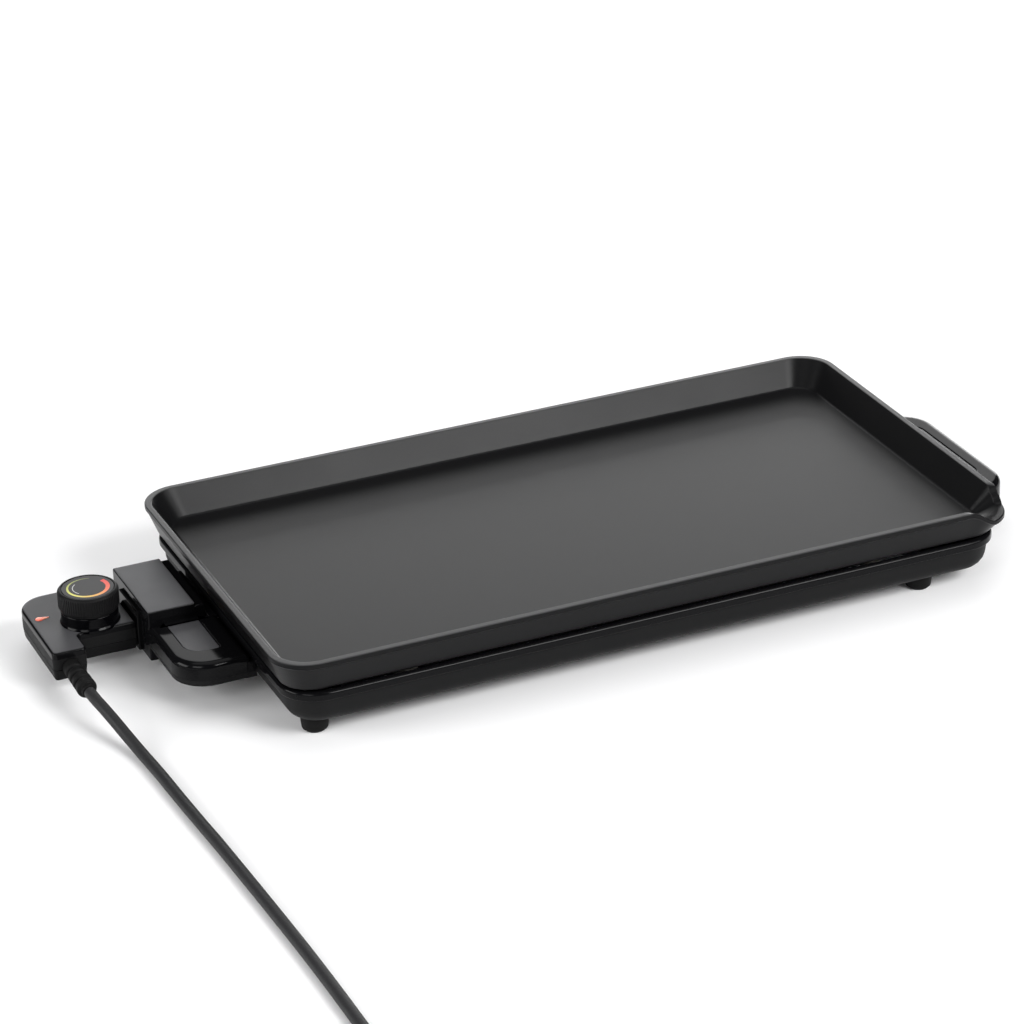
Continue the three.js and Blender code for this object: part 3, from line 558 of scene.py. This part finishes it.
def make_relief(finishes):
    """The ribbed sleeve that tapers from the housing to the cord."""
    x0, x1, y0, y1, z0, z1 = span("strain_relief")
    middle = ((x0 + x1) / 2, y1, (z0 + z1) / 2)
    reach = y1 - y0
    profile = [(0, 0, 0), (5.2, 0, 0.1), (5.2, 7, 0.1), (5.9, 7.2, 0.3)]
    ribs, first, pitch = 4, 9.8, 8.0
    groove = 2.1
    for i in range(ribs):
        start = first + i * pitch
        r = 5.9 + 0.15 * i
        profile += [(r, start, 1.2), (r, start + 4.6, 1.2), (r - groove, start + 5.3, 0.7),
                    (r - groove, start + 7.2, 0.7)]
    profile += [(4.4, reach - 0.6, 0.6), (CORD_DIAMETER / 2 + 0.3, reach, 0.3), (0, reach, 0)]
    return piece("relief_sleeve", turned(profile, middle, (0, -1, 0), 48), "controller",
                 finishes["rubber"], ("strain_relief",), crease=50)


# ---- Cooking plate and base tray ------------------------------------------------------------
PLATE_CORNER = 25
PLATE_SHRINK = 0.65
PLATE_SCREWS = [(160, 107), (160, -107), (-160, 107), (-160, -107)]
SPOUT_DIP = 9.5
SPOUT_FRONT = (9.0, 29.0)     # the flat and the end of the ramp, along the front rim
SPOUT_SIDE = (15.0, 25.0)     # the same along the end rim, where the drop is steep
SPOUT_WAVES = 2               # in the drop along the end rim
SPOUT_WAVE_DEPTH = 0.6
SPOUT_FOOT = 42.0             # the wall isn't lowered below this, and fully lowered from SPOUT_FULL up
SPOUT_FULL = 55.0


def spout_drop(point, distance, half_x, half_y):
    """How far a point of the wall is lowered at the pouring corner (+X, -Y)."""
    if point.z < SPOUT_FOOT or point.x < 0 or point.y > 0:
        return 0
    radius = PLATE_CORNER - PLATE_SHRINK * distance
    dx = point.x - (half_x - distance - radius)
    dy = -point.y - (half_y - distance - radius)
    if dx > 0 and dy > 0:
        away = radius * abs(math.atan2(dy, dx) - math.pi / 4)
    else:
        away = radius * math.pi / 4 + max(-dx, -dy)
    front = dy > dx
    flat, end = SPOUT_FRONT if front else SPOUT_SIDE
    share = min(max((away - flat) / (end - flat), 0), 1)
    if front:
        share = share * share * (3 - 2 * share)
    else:
        pace = 2 * math.pi * SPOUT_WAVES
        share -= SPOUT_WAVE_DEPTH * math.sin(pace * share) / pace
    high = min((point.z - SPOUT_FOOT) / (SPOUT_FULL - SPOUT_FOOT), 1)
    return SPOUT_DIP * (1 - share) * high


def make_plate(finishes):
    x0, x1, y0, y1, _, top = span("cooking_plate")
    bottom, floor = 36.5, 40.6
    plan = rectangle(x0, x1, y0, y1, PLATE_CORNER)
    profile = [
        (24, bottom, 0), (7.4, bottom, 2.0), (0.9, 54.0, 0.8), (0, 54.8, 0.5), (0, top, 0.8),
        (4.1, top, 0.8), (15.4, floor, 2.2), (26, floor, 0),
    ]
    rings = []
    for p in rounded(profile, 6, False):
        level = ring(plan, p.x, p.y, 20, PLATE_SHRINK, (1, 2, 3, 4.5, 6, 8, 11))
        rings.append([point - Z * spout_drop(point, p.x, x1, y1) for point in level])
    boss_radius, boss_low, boss_top = 6.5, 30.2, bottom + 1
    boss = [(0, boss_low, 0), (boss_radius, boss_low, 0.4), (boss_radius, boss_top, 0), (0, boss_top, 0)]
    bosses = [turned(boss, (x, y, 0), sides=32) for x, y in PLATE_SCREWS]
    bores = [rod(1.9, 29, 38, (x, y, 0), sides=24) for x, y in PLATE_SCREWS]
    piece("plate_casting", loft(rings), "griddle", finishes["plate_coating"],
          ("cooking_plate",), bosses, bores, crease=60)


PROBE_Y = 35
PROBE_Z = 20
GAP_Y = (PROBE_Y - 15, PROBE_Y + 15)     # the gap for the terminals, in the tray and the left handle
GAP_Z = (PROBE_Z - 6, PROBE_Z + 6.5)
TRAY_HALF_X = 241
TRAY_HALF_Y = 131


def make_tray():
    plan = rectangle(-TRAY_HALF_X, TRAY_HALF_X, -TRAY_HALF_Y, TRAY_HALF_Y, 22)
    profile = [
        (28, 10.5, 0), (2.6, 10.5, 11), (0, 29.0, 0.4), (-2.5, 29.2, 1.0), (-2.5, 35, 2.0),
        (1.7, 35, 0.9), (2.4, 30, 2), (4.8, 12.5, 8), (28, 12.5, 0),
    ]
    cuts = [block(-TRAY_HALF_X - 6, -TRAY_HALF_X + 12, *GAP_Y, *GAP_Z)]
    finish = banded("tray_moulding", [(29.1, *MATT), (ABOVE_ALL, *GLOSS)])
    piece("tray_moulding", moulding(plan, profile, 12, (3, 8)), "griddle", finish,
          ("base_tray",), cuts=cuts, crease=45)


def make_feet(finishes):
    for i in range(1, 5):
        name = f"foot_{i}"
        x0, x1, y0, y1, _, z1 = span(name)
        r = (x1 - x0) / 2
        high = 10.2     # the top of the pad; its stud goes on up into the tray, to z1
        profile = [(0, 0, 0), (r - 2.2, 0, 0.8), (r - 0.6, 1.6, 1), (r, high - 3, 1.2), (r, high, 0.5),
                   (2.6, high, 0), (2.6, z1, 0.3), (0, z1, 0)]
        piece(name + "_fine", turned(profile, ((x0 + x1) / 2, (y0 + y1) / 2, 0), sides=48), "griddle",
              finishes["rubber"], (name,))


# ---- Handles and socket cover ---------------------------------------------------------------
HANDLE = {"reach": 289, "half": 65, "corner": 22, "low": 18, "top": 33.5, "joint": 244.6}
INLAY = {"x0": 257.5, "x1": 278, "half": 46, "corner": 12, "deep": 2.5}


def handle_solid(plan, recess):
    """A grip with a bullnose ridge round a sunk panel."""
    low, top = HANDLE["low"], HANDLE["top"]
    side = [(3, low, 0), (0.5, low, 0.9), (0, 21, 0.5), (0, top, 4.2), (5.6, top, 0)]
    rings = [ring(plan, p.x, p.y, 14) for p in rounded(side, 7, False)]
    sunk = top - INLAY["deep"]
    for distance, z in [(-0.7, top), (-0.3, top - 0.12), (-0.08, top - 0.4), (0, top - 0.8), (0, sunk)]:
        rings.append(ring(recess, distance, z, 14))
    return loft(rings)


def inlay_solid(recess):
    low = HANDLE["top"] - INLAY["deep"] + 0.1
    top = HANDLE["top"] - 0.4
    return moulding(recess, [(0.15, low, 0), (0.15, top, 0.4), (4, top, 0)], 14)


def make_handles(finishes):
    reach, half, joint, corner = (HANDLE[key] for key in ("reach", "half", "joint", "corner"))
    satin = finishes["satin_black"]
    right = rectangle(joint, reach, -half, half, (3, corner, corner, 3))
    right_recess = rectangle(INLAY["x0"], INLAY["x1"], -INLAY["half"], INLAY["half"],
                             (2, INLAY["corner"], INLAY["corner"], 2))
    finish = banded("handle_moulding", [(22, *MATT), (ABOVE_ALL, *GLOSS)])
    # The root joins the grip to the tray's wall, a little narrower than the grip.
    root_in, root_low, root_top = TRAY_HALF_X + 0.4, HANDLE["low"] + 0.4, 28.8
    narrower = 0.12
    right_root = block(root_in, joint + 4, -half + narrower, half - narrower, root_low, root_top)
    piece("right_handle_shell", handle_solid(right, right_recess), "griddle", finish,
          ("right_handle",), [right_root], crease=40)
    piece("right_handle_panel", inlay_solid(right_recess), "griddle", satin,
          ("right_grip_inlay",))
    # The left grip ends beside the terminal cover, and a narrow flange runs on behind it.
    end = -0.3
    left = rectangle(-reach, -joint, -half, end, (corner, 3, 0.4, 0.4))
    left_recess = rectangle(-INLAY["x1"], -INLAY["x0"], -INLAY["half"], end - 0.5,
                            (INLAY["corner"], 2, 0.3, 0.3))
    left_root = block(-joint - 4, -root_in, -half + narrower, end - 0.2, root_low, root_top)
    low, top = HANDLE["low"], HANDLE["top"]
    flange_out = -250.7
    flange = moulding(rectangle(flange_out, -joint, end - 4, half, 0.8),
                      [(0.3, low, 0), (0, low + 0.4, 0.2), (0, top, 1.2), (2, top, 0)])
    terminal_way = block(flange_out - 3.3, -joint + 3, *GAP_Y, low - 1, GAP_Z[1])
    piece("left_handle_shell", handle_solid(left, left_recess), "griddle", finish,
          ("left_handle",), [left_root, flange], [terminal_way], crease=40)
    piece("left_handle_panel", inlay_solid(left_recess), "griddle", satin,
          ("left_grip_inlay",))


def make_cover():
    """The hollow box over the terminals, with a surround to its way in for the controller."""
    x0, x1, step = -288.5, -257, -251     # its outer face, its inner face and the ledge's inner face
    y0, y1, low, top = 0, 70, 9, 42.5
    wall = 2.4
    body = moulding(rectangle(x0, x1, y0, y1, 1.2),
                    [(3, low, 0), (0, low, 0.4), (0, top, 1.1), (4, top, 0)])
    ledge = moulding(rectangle(x1 - 2, step, y0 + 0.05, y1 - 0.05, 0.8),
                     [(0, low + 8, 0), (0, top - 2, 1.2), (2, top - 2, 0)])
    frame_half, frame_top = 17.8, 36.2
    surround = moulding(rectangle(x0 - 2, x0 + 2, PROBE_Y - frame_half, PROBE_Y + frame_half, 0.8),
                        [(0.4, low, 0), (0, low + 0.5, 0.2), (0, frame_top, 0.9), (1.6, frame_top, 0)])
    way_half, way_low, way_top = 15.4, 11.2, 28.2
    cuts = [
        block(x0 + wall, x1 - wall, y0 + wall, y1 - wall, low - 1, top - wall),
        block(x1 - wall - 1, step - wall, y0 + wall, y1 - wall, low + 7, top - 2 - wall),
        block(x1 - wall - 1, step + 1, *GAP_Y, low + 4, PROBE_Z + 7),
        block(x0 - 4, x0 + wall + 1, PROBE_Y - way_half, PROBE_Y + way_half, way_low, way_top),
    ]
    finish = banded("cover_moulding", [(top - 0.25, *GLOSS), (ABOVE_ALL, *SATIN)])
    piece("terminal_cover", body, "griddle", finish, ("socket_cover",),
          [ledge, surround], cuts)


# ---- Controller -----------------------------------------------------------------------------
HOUSING = {"x0": -351, "x1": -329, "far": -318, "y0": -1, "y1": 81, "low": 9.5, "top": 29,
           "split": 17, "arm": 16.5, "arm_end": -290.9, "wall": 2}
NOSE = {"end": -263, "half": 14.6, "low": 11.8, "top": 27.6}
PIN_SPREAD = 8.6     # from the probe to each contact pin


def housing_plan():
    """A bar for the lead and lamp, wider at its far end, and an arm towards the griddle."""
    x0, x1, y0, y1 = (HOUSING[key] for key in ("x0", "x1", "y0", "y1"))
    near, far, end = PROBE_Y - HOUSING["arm"], PROBE_Y + HOUSING["arm"], HOUSING["arm_end"]
    return [(x0, y0, 3), (x1, y0, 3), (x1, near, 2.5), (end, near, 0.8), (end, far, 0.8),
            (HOUSING["far"], far, 2.5), (HOUSING["far"], y1, 6), (x0, y1, 18)]


def nose(z0, z1, distance=0.0):
    """The arm's narrower end, which goes into the terminal cover; distance makes it smaller."""
    half = NOSE["half"] - distance
    plan = rectangle(HOUSING["arm_end"] - 4, NOSE["end"] - distance, PROBE_Y - half, PROBE_Y + half, 1)
    return moulding(plan, [(0, z0, 0), (0, z1, 0.05 if distance else 0.6), (1.5, z1, 0)])


def contact_ways():
    """The ways through the nose's end, for the probe and the two contact pins."""
    ways = []
    for radius, away in [(3.2, 0), (3.8, PIN_SPREAD), (3.8, -PIN_SPREAD)]:
        place = (NOSE["end"], PROBE_Y + away, PROBE_Z)
        ways.append(rod(radius, -8, 1, place, (1, 0, 0), 24, 0.05))
    return ways


LENS = Vector((-343, 49))
SHAFT_WAY = 3.4     # radius of the hole for the knob's shaft


def lens_ring(grow, z):
    """A drop-shaped outline with its tip towards the griddle."""
    radius = 2.4 + grow
    round_x = -1.4
    points = []
    steps = 18
    for k in range(steps + 1):
        angle = math.pi / 3 + (4 * math.pi / 3) * k / steps
        points.append((round_x + radius * math.cos(angle), radius * math.sin(angle)))
    tip = 5 + 2 * grow
    points += [(tip, -0.25), (tip + 0.1, 0), (tip, 0.25)]
    return [Vector((LENS.x + x, LENS.y + y, z)) for x, y in points]


def make_controller(finishes):
    low, top, split, wall = (HOUSING[key] for key in ("low", "top", "split", "wall"))
    plan = housing_plan()
    lead_x, _, lead_z = LEAD[0]
    relief_way = rod(5.5, 0, 8, (lead_x, HOUSING["y0"] + 5, lead_z), (0, -1, 0), edge=0.05)
    hollow = moulding(inset(plan, wall),
                      [(0, low + wall, 0), (0, top - wall, 0.3), (0.5, top - wall, 0)])
    upper = moulding(plan, [(3, split + 0.3, 0), (0, split + 0.3, 0.25), (0, top, 1.9), (3, top, 0)], 12)
    shaft = (-315.3, PROBE_Y, 0)
    cuts = [
        hollow,
        nose(split - 1, NOSE["top"] - wall, wall),
        rod(SHAFT_WAY, top - 4, top + 11, shaft),
        loft([lens_ring(0.3, z) for z in (top - 4, top + 1)]),
        relief_way,
        *contact_ways(),
    ]
    shell = banded("housing_top", [(24.6, *MATT), (top - 0.15, *GLOSS), (ABOVE_ALL, *SATIN)])
    piece("controller_upper", upper, "controller", shell, ("controller_top",),
          [nose(split + 0.3, NOSE["top"])], cuts, crease=40)
    lower = moulding(plan, [(3.4, low, 0), (0.9, low, 2.0), (0, split, 0.3), (3, split, 0)], 12)
    piece("controller_lower", lower, "controller", finishes["matt_black"],
          ("controller_bottom",), [nose(NOSE["low"], split)],
          [hollow, nose(NOSE["low"] + wall, split + 1, wall), relief_way, *contact_ways()], crease=40)
    boss, skirt, boss_top = 18.0, 18.9, 37.4
    collar = [(0, top - 1.2, 0), (skirt, top - 1.2, 0), (skirt, top + 0.2, 0.4), (boss, top + 1.4, 1.5),
              (boss, boss_top, 0.9), (0, boss_top, 0)]
    piece("knob_collar", turned(collar, shaft, sides=96), "controller", finishes["gloss_black"],
          ("controller_top",), cuts=[rod(SHAFT_WAY, top - 9, top + 11, shaft)])
    drop = [lens_ring(grow, top + z) for grow, z in [(0, -1.6), (0, 0), (-0.25, 0.28), (-0.8, 0.4)]]
    piece("pilot_lens_fine", loft(drop), "controller", finishes["lamp_red"],
          ("pilot_lens",))


# ---- Knob -----------------------------------------------------------------------------------
KNOB_RIBS = 72
KNURL_DEPTH = 0.14
CAP_FOOT = 40.2     # where the knob's wide cap begins, above its narrower neck
DIAL_RADIUS = 16.4


def knob_middle():
    x0, x1, y0, y1, _, _ = span("knob")
    return (x0 + x1) / 2, (y0 + y1) / 2, 0


def make_knob(finishes):
    x0, x1, _, _, low, top = span("knob")
    radius = (x1 - x0) / 2
    centre = knob_middle()
    recess = top - 0.9     # the floor under the dial

    def knurl(angle, r, z):
        if r < radius - 0.35 or z < CAP_FOOT or z > top - 1.0:
            return r
        return r - KNURL_DEPTH * (1 + math.cos(KNOB_RIBS * angle))

    profile = [
        (0, low, 0), (18.4, low, 0.5), (18.6, CAP_FOOT - 0.6, 0.3),
        (radius - 0.1, CAP_FOOT - 0.3, 0.25), (radius - 0.05, CAP_FOOT + 0.6, 0.2),
        (radius - 0.05, top - 1.5, 0.3), (radius - 0.6, top - 0.9, 0.3), (radius - 1.4, top, 0.7),
        (DIAL_RADIUS + 0.5, top, 0.25), (DIAL_RADIUS + 0.3, recess, 0.1), (0, recess, 0),
    ]
    piece("knob_cap", turned(profile, centre, sides=KNOB_RIBS * 8, ripple=knurl), "knob",
          finishes["matt_black"], ("knob",), cuts=[rod(3, low - 1, top - 4, centre)],
          crease=50)
    dial_low, dial_top = top - 0.7, top - 0.12
    disc = [(0, dial_low, 0), (DIAL_RADIUS, dial_low, 0.05), (DIAL_RADIUS, dial_top, 0.2),
            (0, dial_top, 0)]
    piece("dial_disc", turned(disc, centre, sides=96), "knob", finishes["dial_print"],
          ("knob_dial",))


def dial_material():
    """A satin disc printed with a heat scale: a thin band that thickens and turns from green to red."""
    mat, tree, shader = new_material("dial_print")
    where = add(tree, "ShaderNodeTexCoord").outputs["Object"]
    mapping = add(tree, "ShaderNodeMapping")
    mapping.inputs["Location"].default_value = -metres(*knob_middle())
    tree.links.new(where, mapping.inputs["Vector"])
    split = add(tree, "ShaderNodeSeparateXYZ")
    tree.links.new(mapping.outputs["Vector"], split.inputs["Vector"])

    def calc(operation, *values):
        node = add(tree, "ShaderNodeMath", operation=operation)
        for socket, value in zip(node.inputs, values):
            put(tree, value, socket)
        return node.outputs[0]

    x, y = split.outputs["X"], split.outputs["Y"]
    radius = calc("SQRT", calc("ADD", calc("MULTIPLY", x, x), calc("MULTIPLY", y, y)))
    # The angle runs anticlockwise from the scale's thin end, in whole turns.
    start = math.radians(68)
    past_start = calc("SUBTRACT", calc("ARCTAN2", y, x), start)
    turn = calc("FRACT", calc("ADD", calc("DIVIDE", past_start, 2 * math.pi), 1.0))

    def arc(middle, half_from, half_to, begin, end):
        """1 inside an arc band whose half width grows from its beginning to its end."""
        half = remap(tree, turn, half_from * MM, half_to * MM, begin, end)
        distance = calc("ABSOLUTE", calc("SUBTRACT", radius, middle * MM))
        inside = calc("LESS_THAN", distance, half)
        after = calc("GREATER_THAN", turn, begin)
        before = calc("LESS_THAN", turn, end)
        return calc("MULTIPLY", inside, calc("MULTIPLY", after, before))

    scale = add(tree, "ShaderNodeValToRGB")
    stops = [(0.0, (0.10, 0.11, 0.05)), (0.20, (0.34, 0.38, 0.10)), (0.40, (0.62, 0.60, 0.14)),
             (0.56, (0.72, 0.42, 0.10)), (0.72, (0.70, 0.14, 0.08)), (0.90, (0.62, 0.05, 0.05))]
    ramp = scale.color_ramp.elements
    while len(ramp) < len(stops):
        ramp.new(0.5)
    for element, (place, colour) in zip(ramp, stops):
        element.position = place
        element.color = (*colour, 1)
    tree.links.new(turn, scale.inputs["Fac"])
    heat = arc(middle=12.6, half_from=0.30, half_to=1.5, begin=0.0, end=0.89)
    mark = arc(middle=9.4, half_from=0.28, half_to=0.28, begin=0.17, end=0.42)
    fine = noise(tree, 1500, 3.0)
    ground = mix_colours(tree, fine, (0.009, 0.009, 0.010), (0.016, 0.016, 0.017))
    printed = mix_colours(tree, heat, ground, scale.outputs["Color"])
    printed = mix_colours(tree, mark, printed, (0.42, 0.42, 0.42))
    tree.links.new(printed, shader.inputs["Base Color"])
    shader.inputs["Specular IOR Level"].default_value = 0.15
    tree.links.new(remap(tree, fine, 0.34, 0.44), shader.inputs["Roughness"])
    add_bump(tree, shader, fine, 0.1, distance=0.0001)
    return mat


# ---- Pieces that keep their CAD shape -------------------------------------------------------
def dress_cad_nodes(finishes):
    for part in frame["record"]["subparts"]:
        node = frame["nodes"][part["node"]]
        node.data.materials.clear()
        node.data.materials.append(finishes[part["material_slot"]])


# ---- Stage ----------------------------------------------------------------------------------
def make_floor():
    half = 2.8     # metres
    mesh = bpy.data.meshes.new("floor")
    corners = [(-half, -half, 0), (half, -half, 0), (half, half, 0), (-half, half, 0)]
    mesh.from_pydata(corners, [], [[0, 1, 2, 3]])
    floor = link_object("floor", mesh)
    mat, _, shader = new_material("floor")
    shader.inputs["Base Color"].default_value = (0.93, 0.93, 0.935, 1)
    shader.inputs["Roughness"].default_value = 0.7
    shader.inputs["Specular IOR Level"].default_value = 0.2
    mesh.materials.append(mat)


# Name, place and size in metres, power in watts. All of them point at the origin.
SOFTBOXES = [
    ("top_softbox", (0.2, 0.2, 2.2), 2.0, 2.0, 16),
    ("back_softbox", (0.87, 2.08, 1.09), 2.0, 1.0, 11),
    ("back_strip", (0.9, 2.4, 0.45), 3.0, 0.6, 32),
    ("front_right_softbox", (0.87, -1.85, 1.46), 1.0, 1.0, 48),
    ("right_softbox", (1.6, -1.3, 1.3), 1.0, 1.0, 14),
    ("front_left_softbox", (-1.8, -1.6, 1.5), 1.2, 1.2, 22),
    ("left_softbox", (-2.3, 0.2, 0.9), 1.4, 1.0, 32),
]


def add_softbox(name, place, width, height, power):
    data = bpy.data.lights.new(name, "AREA")
    data.shape = "RECTANGLE"
    data.size = width
    data.size_y = height
    data.energy = power
    lamp = link_object(name, data)
    lamp.location = place
    lamp.rotation_euler = (-Vector(place)).to_track_quat("-Z", "Y").to_euler()


def make_lights():
    world = bpy.data.worlds.new("studio")
    bpy.context.scene.world = world
    world.use_nodes = True
    tree = world.node_tree
    backdrop = tree.nodes["Background"]
    backdrop.inputs["Color"].default_value = (1, 1, 1, 1)
    # White behind the floor's edge, but only a faint fill on the griddle itself.
    seen = add(tree, "ShaderNodeLightPath").outputs["Is Camera Ray"]
    tree.links.new(remap(tree, seen, 0.06, 1.05), backdrop.inputs["Strength"])
    for softbox in SOFTBOXES:
        add_softbox(*softbox)
    bpy.context.scene.view_settings.view_transform = "Standard"


make_camera()
finishes = make_finishes()
dress_cad_nodes(finishes)
lead = make_cord(finishes)
plug = make_plug(finishes)
tie = make_tie(finishes)
relief = make_relief(finishes)
make_plate(finishes)
make_tray()
make_feet(finishes)
make_handles(finishes)
make_cover()
make_controller(finishes)
make_knob(finishes)
make_floor()
make_lights()
